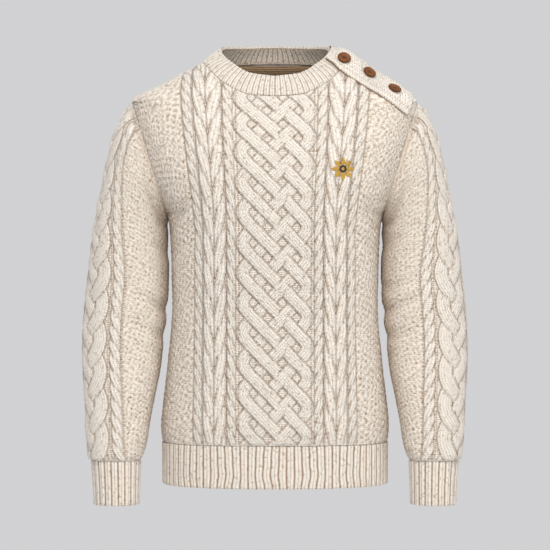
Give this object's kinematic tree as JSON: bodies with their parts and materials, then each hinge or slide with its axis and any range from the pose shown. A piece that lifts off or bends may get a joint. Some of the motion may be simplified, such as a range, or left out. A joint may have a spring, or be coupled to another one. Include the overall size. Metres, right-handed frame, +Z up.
{
  "type": "fisherman sweater",
  "caption": "Chunky cream cable-knit pullover with a ribbed round collar, set-in long sleeves, ribbed hem and cuffs, and a buttoned shoulder placket.",
  "frame": {"origin": "midway between the two high shoulder points, where the sweater hangs from its wearer's shoulders", "axes": "+Z up towards the collar, front towards -Y, +X towards the wearer's left sleeve"},
  "size_m": [0.6193, 0.2533, 0.7308],
  "materials": {
    "wool": "matt, thick cable knit",
    "wood": "satin, turned"
  },
  "bodies": {
    "root": {"front_panel": "wool", "back_panel": "wool", "sleeve_left": "wool", "sleeve_right": "wool", "hem_rib_front": "wool", "hem_rib_back": "wool", "cuff_left": "wool", "cuff_right": "wool", "collar": "wool", "shoulder_placket": "wool", "button_1": "wood", "button_2": "wood", "button_3": "wood"}
  },
  "joints": []
}
